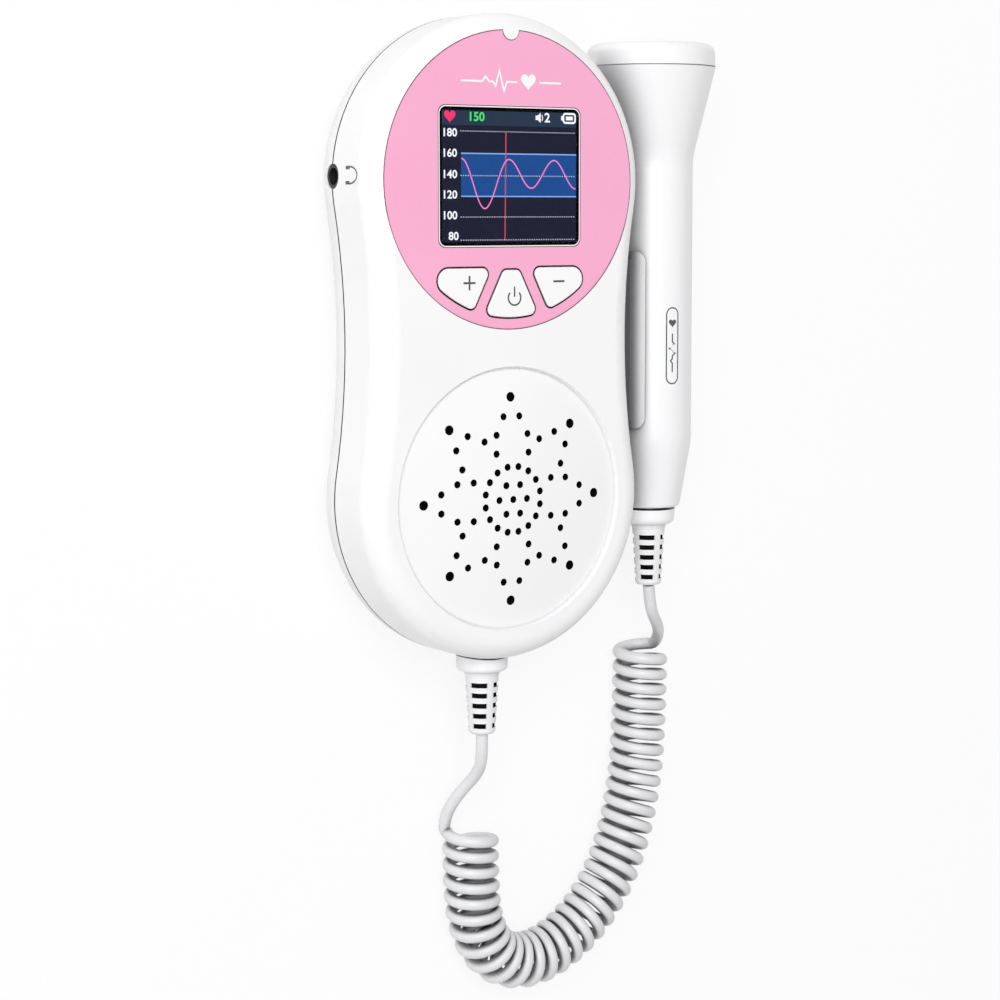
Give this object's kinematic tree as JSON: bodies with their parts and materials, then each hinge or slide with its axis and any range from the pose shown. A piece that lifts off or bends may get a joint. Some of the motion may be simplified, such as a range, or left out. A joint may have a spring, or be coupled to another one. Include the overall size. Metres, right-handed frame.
{
  "type": "fetal doppler monitor",
  "caption": "Hand-held fetal heart doppler with round colour display plate, speaker end, three keys, docked ultrasound probe and curly cord.",
  "frame": {"origin": "middle of the flat back of the unit, the face it lies on", "axes": "+X to the device's right, where the probe is docked; +Y along the unit to the display end; +Z out of the front face"},
  "size_m": [0.0957, 0.2187, 0.0299],
  "materials": {
    "case_white": "satin white ABS",
    "plate_pink": "printed pink plate",
    "key_white": "satin white",
    "window_clear": "clear acrylic",
    "display_dark": "colour display module",
    "carrier_black": "black carrier",
    "board_green": "circuit board",
    "switch_black": "key switch",
    "stem_grey": "switch stem",
    "socket_black": "headphone socket",
    "speaker_steel": "speaker basket",
    "speaker_paper": "speaker cone",
    "foam_black": "foam gasket",
    "magnet_nickel": "plated magnet",
    "cell_wrap": "printed cell sleeve",
    "contact_nickel": "plated contact",
    "spring_steel": "plated spring",
    "screw_steel": "zinc plated screw",
    "boot_grey": "soft light grey",
    "cord_grey": "satin light grey jacket",
    "disc_ceramic": "silvered piezo ceramic",
    "backing_epoxy": "filled resin",
    "seal_rubber": "sealing ring"
  },
  "bodies": {
    "main_unit": {"front_shell": "case_white", "back_shell": "case_white", "face_plate": "plate_pink", "display_window": "window_clear", "display_module": "display_dark", "display_carrier": "carrier_black", "main_board": "board_green", "board_screws": "screw_steel", "key_switches": "switch_black", "headphone_socket": "socket_black", "speaker_gasket": "foam_black", "speaker_frame": "speaker_steel", "speaker_cone": "speaker_paper", "speaker_magnet": "magnet_nickel", "batteries": "cell_wrap", "battery_contacts": "contact_nickel", "battery_springs": "spring_steel", "case_screws": "screw_steel", "cord_collar": "case_white", "unit_boot": "boot_grey", "probe_dock": "case_white", "dock_magnets": "magnet_nickel", "dock_screws": "screw_steel", "cord_unit_lead": "cord_grey", "cord_coil": "cord_grey", "cord_probe_lead": "cord_grey"},
    "plus_button": {"plus_key": "key_white", "plus_switch_stem": "stem_grey"},
    "power_button": {"power_key": "key_white", "power_switch_stem": "stem_grey"},
    "minus_button": {"minus_key": "key_white", "minus_switch_stem": "stem_grey"},
    "door": {"battery_door": "case_white"},
    "probe": {"probe_handle": "case_white", "probe_head_cap": "case_white", "transducer_discs": "disc_ceramic", "transducer_backing": "backing_epoxy", "head_seal": "seal_rubber", "probe_board": "board_green", "dock_keeper": "spring_steel", "probe_end_cap": "case_white", "probe_boot": "boot_grey"}
  },
  "joints": [
    {"name": "plus_press", "type": "slide", "parent": "main_unit", "child": "plus_button", "axis": [0, 0, -1], "range_m": [0, 0.0004], "stiffness_N_per_m": 3000},
    {"name": "power_press", "type": "slide", "parent": "main_unit", "child": "power_button", "axis": [0, 0, -1], "range_m": [0, 0.0004], "stiffness_N_per_m": 3000},
    {"name": "minus_press", "type": "slide", "parent": "main_unit", "child": "minus_button", "axis": [0, 0, -1], "range_m": [0, 0.0004], "stiffness_N_per_m": 3000},
    {"name": "door_slide", "type": "slide", "parent": "main_unit", "child": "door", "axis": [0, -1, 0], "range_m": [0, 0.012]},
    {"name": "probe_undock", "type": "slide", "parent": "main_unit", "child": "probe", "axis": [1, 0, 0], "range_m": [0, 0.06]}
  ]
}
